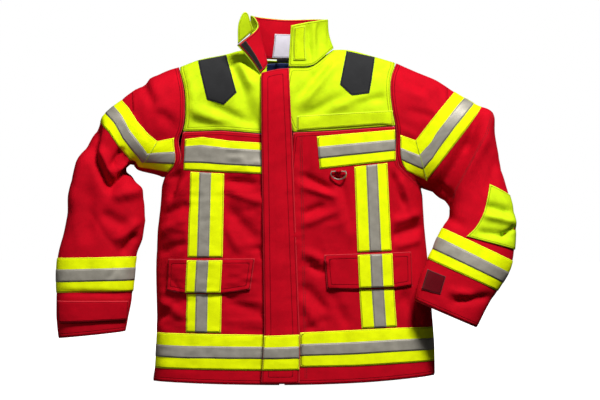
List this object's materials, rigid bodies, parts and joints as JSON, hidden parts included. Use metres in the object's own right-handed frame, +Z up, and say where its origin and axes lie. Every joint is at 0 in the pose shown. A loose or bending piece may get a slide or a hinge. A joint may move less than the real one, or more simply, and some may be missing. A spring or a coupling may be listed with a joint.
{
  "type": "turnout coat",
  "caption": "Firefighter's turnout coat with stand collar, zip under a storm flap, reflective bands, flapped pockets, liner and hinged cuff straps.",
  "frame": {"origin": "the middle of the hanger loop inside the back of the neck, where a coat hook passes", "axes": "+Z up along the standing coat, the front faces -Y, +X towards the wearer's left sleeve"},
  "size_m": [1.0141, 0.2219, 0.8153],
  "materials": {
    "shell_red": "woven aramid shell, matt",
    "yoke_yellow": "fluorescent yellow-green woven fabric, matt",
    "reflective_tape": "fluorescent yellow tape with a silver retroreflective stripe",
    "abrasion_grey": "coated abrasion fabric, dark grey",
    "loop_tape_yellow": "yellow loop tape",
    "loop_tape_red": "dark red loop tape",
    "liner_navy": "navy quilted lining",
    "barrier_black": "black coated wicking barrier and pocket cloth",
    "label_white": "white woven label, blank",
    "zip_black": "black zip tape, teeth and webbing",
    "ring_steel": "plain steel wire",
    "slider_steel": "dark plated steel"
  },
  "bodies": {
    "shell": {"right_yoke": "yoke_yellow", "left_yoke": "yoke_yellow", "back_yoke": "yoke_yellow", "right_front_panel": "shell_red", "left_front_panel": "shell_red", "back_panel": "shell_red", "collar_shell": "yoke_yellow", "collar_lining": "shell_red", "collar_loop_patch": "loop_tape_yellow", "size_label": "label_white", "right_collar_zip": "zip_black", "left_collar_zip": "zip_black", "hanger_loop": "zip_black", "right_zip_tape": "zip_black", "left_zip_tape": "zip_black", "zip_teeth": "zip_black", "right_chest_band": "reflective_tape", "left_chest_band": "reflective_tape", "right_upper_band": "reflective_tape", "left_upper_band": "reflective_tape", "right_lower_band": "reflective_tape", "left_lower_band": "reflective_tape", "right_hem_band": "reflective_tape", "left_hem_band": "reflective_tape", "back_hem_band": "reflective_tape", "back_chest_band": "reflective_tape", "right_shoulder_patch": "abrasion_grey", "left_shoulder_patch": "abrasion_grey", "name_strip": "loop_tape_yellow", "right_pocket_bag": "barrier_black", "left_pocket_bag": "barrier_black", "d_ring_tab": "shell_red", "right_liner": "liner_navy", "left_liner": "liner_navy", "back_liner": "liner_navy", "right_sleeve_head": "shell_red", "left_sleeve_head": "shell_red", "right_chevron_band": "reflective_tape", "left_chevron_band": "reflective_tape"},
    "storm_flap": {"storm_flap": "shell_red", "storm_flap_band": "reflective_tape"},
    "right_pocket_flap": {"right_pocket_flap": "shell_red", "right_flap_band": "reflective_tape"},
    "left_pocket_flap": {"left_pocket_flap": "shell_red", "left_flap_band": "reflective_tape"},
    "d_ring": {"d_ring": "ring_steel"},
    "zip_slider": {"zip_slider": "slider_steel"},
    "zip_pull": {"zip_pull": "slider_steel"},
    "chin_flap": {"chin_flap": "yoke_yellow"},
    "right_arm": {"right_sleeve": "shell_red", "right_sleeve_liner": "barrier_black", "right_cuff_band": "reflective_tape", "right_elbow_patch": "yoke_yellow"},
    "left_arm": {"left_sleeve": "shell_red", "left_sleeve_liner": "barrier_black", "left_cuff_band": "reflective_tape", "left_elbow_patch": "yoke_yellow", "left_cuff_loop_patch": "loop_tape_red"},
    "right_cuff_strap": {"right_cuff_strap": "shell_red"},
    "left_cuff_strap": {"left_cuff_strap": "shell_red"}
  },
  "joints": [
    {"name": "storm_flap_hinge", "type": "hinge", "parent": "shell", "child": "storm_flap", "pos_m": [0.01367, -0.13983, -0.3656], "axis": [-0.034, 0.0226, 0.9992], "range_deg": [0, 45]},
    {"name": "right_pocket_flap_hinge", "type": "hinge", "parent": "shell", "child": "right_pocket_flap", "pos_m": [-0.07659, -0.14786, -0.4395], "axis": [-1, 0, 0], "range_deg": [0, 150]},
    {"name": "left_pocket_flap_hinge", "type": "hinge", "parent": "shell", "child": "left_pocket_flap", "pos_m": [0.07487, -0.148, -0.4315], "axis": [-1, 0, 0], "range_deg": [0, 150]},
    {"name": "d_ring_swing", "type": "hinge", "parent": "shell", "child": "d_ring", "pos_m": [0.10619, -0.14754, -0.2499], "axis": [-1, 0, 0], "range_deg": [0, 80]},
    {"name": "zip_slide", "type": "slide", "parent": "shell", "child": "zip_slider", "axis": [0.0226, -0.0001, -0.9997], "range_m": [0, 0.47]},
    {"name": "zip_pull_swing", "type": "hinge", "parent": "zip_slider", "child": "zip_pull", "pos_m": [-0.0295, -0.14526, -0.185], "axis": [-0.9997, 0, -0.0226], "range_deg": [0, 6]},
    {"name": "chin_flap_hinge", "type": "hinge", "parent": "shell", "child": "chin_flap", "pos_m": [-0.097, -0.1296, 0.0445], "axis": [0.682, 0.3851, 0.6218], "range_deg": [0, 80]},
    {"name": "right_shoulder", "type": "hinge", "parent": "shell", "child": "right_arm", "pos_m": [-0.24, -0.048, -0.14], "axis": [0, 1, 0], "range_deg": [0, 25], "deforming": ["right_sleeve_head", "right_chevron_band"]},
    {"name": "left_shoulder", "type": "hinge", "parent": "shell", "child": "left_arm", "pos_m": [0.23, -0.048, -0.147], "axis": [0, -1, 0], "range_deg": [0, 25], "deforming": ["left_sleeve_head", "left_chevron_band"]},
    {"name": "right_cuff_strap_hinge", "type": "hinge", "parent": "right_arm", "child": "right_cuff_strap", "pos_m": [-0.35661, -0.09974, -0.55506], "axis": [0.0433, -0.1388, 0.9894], "range_deg": [0, 70]},
    {"name": "left_cuff_strap_hinge", "type": "hinge", "parent": "left_arm", "child": "left_cuff_strap", "pos_m": [0.30549, -0.11066, -0.50143], "axis": [0.289, 0.2194, 0.9318], "range_deg": [0, 50]}
  ]
}
